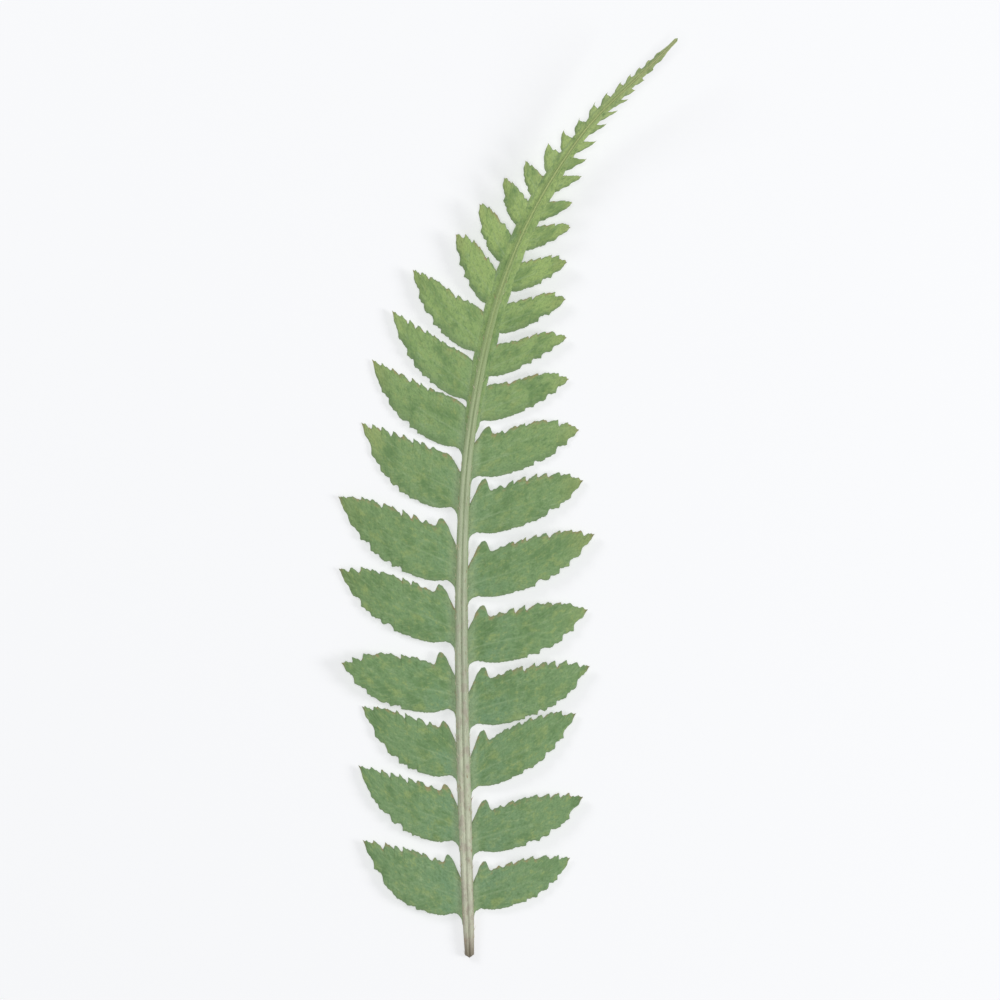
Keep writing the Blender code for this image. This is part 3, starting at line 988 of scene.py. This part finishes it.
def makeRachis(material):
    look = rachisShape
    sheet = newSheet("sweepRachis")
    spine, columns, around, ribs, ragged, swell, seed, finish = sheet.take({
        "Geometry": "Geometry", "Columns": "Int", "Around": "Int", "Ribs": "Float",
        "Ragged End": "Float", "Swell": "Float", "Seed": "Float", "Material": "Material",
    })

    # The grid's seam lies on the underside: the way round runs from the bottom over one side.
    grid, half, place, aim = sheet.alongSpine(spine, columns, around)
    share = sheet.named("share")
    s = share * frondPath["run"]
    signed = sheet.named("round") * 2 - 1
    fromTop = sheet.maths("ABSOLUTE", signed)
    angle = signed * math.pi
    rateRound, rateAlong = look["ribRates"]
    rib = sheet.noise(sheet.vector(signed * rateRound, s * rateAlong, seed), 1, 3)
    bulge = sheet.noise(sheet.vector(s * look["swellRate"], 0, seed + 5), 1)
    uneven = (rib - 0.5) * ribs * 2 + (bulge - 0.5) * swell
    uneven = uneven * sheet.ramp(fromTop, *look["smoothBelow"])
    closed = sheet.held(share * look["endTaper"]) * sheet.held((1 - share) * look["endTaper"])
    radius = sheet.curve(fromTop, look["section"]) * (1 + uneven) * half * closed
    side = sheet.maths("SINE", angle) * radius
    climb = sheet.maths("COSINE", angle) * radius
    tear = sheet.noise(sheet.vector(signed * look["raggedRate"], 0, seed), 1.5) - 0.45
    tear = tear * ragged * sheet.ramp(s, look["raggedRun"], 0.3)
    level = (aim[0] * aim[0] + aim[1] * aim[1]) ** 0.5
    placeX = place[0] + side * aim[1] / level - tear * aim[0]
    placeY = place[1] - side * aim[0] / level - tear * aim[1]
    placeZ = sheet.most(place[2] + climb * level, 0)
    grid = sheet.storePlace(grid, "rachisPlace", fromTop, s, signed)
    grid = sheet.move(grid, placeX, placeY, placeZ)
    sheet.finish(grid, finish)

    count = round(frondPath["run"] / look["step"])
    stations = [frondPath["run"] * n / count for n in range(count + 1)]
    places = [(*plan(s), heightAt(s)) for s in stations]
    values = [{"half": halfWidth(s)} for s in stations]
    source = pointSource("rachis", places, values, joined=True)
    inputs = {
        "Columns": count + 1, "Around": look["around"] + 1, "Ribs": look["ribs"],
        "Ragged End": look["ragged"], "Swell": look["swell"], "Seed": look["seed"],
        "Material": material,
    }
    piece = grow(source, sheet.tree, inputs)
    keepOnly(piece, ("rachisPlace",))
    return piece


# The pale hairs and scales on the flanks of the rachis.
hairShape = {
    "density": 0.55,
    "length": (0.5, 1.3),
    "radius": 0.05,
    "tipRadius": 0.006,
    "lean": 0.35,
    "stray": 0.3,
    "sides": 5,
    "segments": 3,
    "seed": 6,
}
hairFinish = {"pale": (214, 208, 182), "brown": (164, 140, 104), "grain": 400, "roughness": 0.5}


def makeHairMaterial():
    look = hairFinish
    material, sheet, shader = newFinish("paleHairs", {"Roughness": look["roughness"]})
    place = sheet.add("ShaderNodeTexCoord", None, None, 3)  # on the object
    shade = sheet.ramp(sheet.noise(place, look["grain"]), 0.4, 0.65)
    colour = sheet.blend(shade, ink(*look["pale"]), ink(*look["brown"]))
    sheet.feed(shader, {"Base Color": colour})
    return material


def makeHairs(rachis, material):
    look = hairShape
    sheet = newSheet("scatterHairs")
    stem, density, shortest, longest, radius, lean, seed, finish = sheet.take({
        "Geometry": "Geometry", "Density": "Float", "Shortest": "Float", "Longest": "Float",
        "Radius": "Float", "Lean": "Float", "Seed": "Int", "Material": "Material",
    })

    around, s = sheet.parts(sheet.named("rachisPlace", "FLOAT_VECTOR"))[:2]
    flank = sheet.ramp(around, 0.12, 0.3) * sheet.ramp(around, 0.62, 0.5)
    flank = flank * sheet.ramp(s, 178, 60, 0.15, 1)
    sockets = {"Mesh": stem, "Density": density * flank / (mm * mm), "Seed": seed}
    points = sheet.add("GeometryNodeDistributePointsOnFaces", None, sockets)
    normal = Wire(sheet, points.socket.node.outputs["Normal"])
    sockets = {0: (-1, -1, -1), 1: (1, 1, 1), "Seed": seed}
    stray = sheet.add("FunctionNodeRandomValue", {"data_type": "FLOAT_VECTOR"}, sockets)

    # Each hair lies towards the tip, leans off the rachis, and strays a little.
    scale, plus = {"operation": "SCALE"}, {"operation": "ADD"}
    outward = sheet.add("ShaderNodeVectorMath", scale, {0: normal, "Scale": lean})
    stray = sheet.add("ShaderNodeVectorMath", scale, {0: stray, "Scale": look["stray"]})
    aim = sheet.add("ShaderNodeVectorMath", plus, {0: outward, 1: stray})
    aim = sheet.add("ShaderNodeVectorMath", plus, {0: aim, 1: (0, 1, 0)})
    turned = sheet.add("FunctionNodeAlignRotationToVector", {"axis": "Z"}, {"Vector": aim})
    sockets = {2: shortest, 3: longest, "Seed": seed}
    length = sheet.add("FunctionNodeRandomValue", {"data_type": "FLOAT"}, sockets, 1)
    sockets = {
        "Vertices": look["sides"],
        "Side Segments": look["segments"],
        "Radius Top": look["tipRadius"] * mm,
        "Radius Bottom": radius * mm,
        "Depth": mm,
    }
    spike = sheet.add("GeometryNodeMeshCone", None, sockets)
    hairs = sheet.scatter(points, spike, Rotation=turned, Scale=sheet.vector(1, 1, length))
    sheet.clad(hairs, finish)

    source = newObject("hairs", rachis.data.copy())
    inputs = {
        "Density": look["density"], "Shortest": look["length"][0], "Longest": look["length"][1],
        "Radius": look["radius"], "Lean": look["lean"], "Seed": look["seed"],
        "Material": material,
    }
    return grow(source, sheet.tree, inputs)


# The set: a pale sheet that glows a little, as on a light table, a soft light above, a weaker one
# on each side, and a camera straight above. A light is (azimuth, elevation, distance, size, power).
setLook = {
    "paper": (199, 200, 203),
    "paperRoughness": 0.9,
    "paperShine": 0.1,
    "paperGlow": 0.4,
    "glowTint": (0.985, 0.99, 1, 1),
    "floorSize": 3,
    "floorDrop": 0.02,
    "lights": {
        "topLight": (0, 90, 3, 1.2, 32.5),
        "rightLight": (-8, 28, 1.2, 0.45, 6.2),
        "leftLight": (138, 32, 1.2, 0.45, 3.4),
    },
    "lightTint": (1, 0.99, 0.97),
    "roomTint": (0.97, 0.985, 1, 1),
    "roomLight": 0.3,
    "viewCentre": (-1.5, -0.4),
    "viewWidth": 190.6,
    "lens": 500,
    "sensor": 36,
    "farthest": 20,
}


def makeFloor():
    settings = {
        "Roughness": setLook["paperRoughness"],
        "Specular IOR Level": setLook["paperShine"],
        "Base Color": ink(*setLook["paper"]),
        "Emission Color": setLook["glowTint"],
        "Emission Strength": setLook["paperGlow"],
    }
    material = newFinish("paper", settings)[0]
    reach = setLook["floorSize"] / 2
    corners = [(x * reach, y * reach, 0) for x, y in ((-1, -1), (1, -1), (1, 1), (-1, 1))]
    mesh = bpy.data.meshes.new("floor")
    mesh.from_pydata(corners, [], [(0, 1, 2, 3)])
    mesh.materials.append(material)
    floor = newObject("floor", mesh)
    floor.location.z = -setLook["floorDrop"] * mm


def makeLight(name, azimuth, elevation, distance, size, power):
    light = bpy.data.lights.new(name, "AREA")
    light.shape = "DISK"
    light.size = size
    light.energy = power
    light.color = setLook["lightTint"]
    holder = newObject(name, light)
    a, e = math.radians(azimuth), math.radians(elevation)
    toLight = Vector((math.cos(a) * math.cos(e), math.sin(a) * math.cos(e), math.sin(e)))
    holder.location = toLight * distance
    holder.rotation_euler = toLight.to_track_quat("Z", "Y").to_euler()


def makeSet():
    scene = bpy.context.scene
    makeFloor()
    for name, values in setLook["lights"].items():
        makeLight(name, *values)
    world = bpy.data.worlds.new("softRoom")
    world.use_nodes = True
    background = world.node_tree.nodes["Background"]
    background.inputs["Color"].default_value = setLook["roomTint"]
    background.inputs["Strength"].default_value = setLook["roomLight"]
    scene.world = world
    camera = bpy.data.cameras.new("camera")
    camera.lens = setLook["lens"]
    camera.sensor_width = setLook["sensor"]
    camera.clip_end = setLook["farthest"]
    distance = setLook["viewWidth"] * mm * camera.lens / camera.sensor_width
    x, y = setLook["viewCentre"]
    holder = newObject("camera", camera)
    holder.location = (x * mm, y * mm, distance)
    scene.camera = holder
    scene.view_settings.view_transform = "Standard"


def makeFrond():
    leaf = makeLeafMaterial()
    stem = makeRachisMaterial()
    grown = measurePinnae()
    tree = makePinnaTree(grown)
    shape = pinnaShape
    older = range(1, shape["older"] + 1)
    young = range(shape["older"] + 1, shape["count"] + 1)
    pieces = []
    for side, word in ((leftSide, "Left"), (rightSide, "Right")):
        size = shape["olderColumns"], shape["olderRows"]
        pieces.append(makePinnae("pinnae" + word, side, older, *size, grown, tree, leaf))
        size = shape["youngColumns"], shape["youngRows"]
        pieces.append(makePinnae("youngPinnae" + word, side, young, *size, grown, tree, leaf))
    print("pinnae:", [len(piece.data.polygons) for piece in pieces], "faces")
    pieces.append(makeWing(leaf))
    rachis = makeRachis(stem)
    pieces.append(rachis)
    print("wing and rachis:", len(pieces[-2].data.polygons), len(rachis.data.polygons), "faces")
    hairs = makeHairs(rachis, makeHairMaterial())
    pieces.append(hairs)
    print("hairs:", len(hairs.data.polygons), "faces")
    for piece in pieces:
        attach(piece, "root")
        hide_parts("bracken_frond")


makeFrond()
makeSet()
print("set: floor, lights and camera")
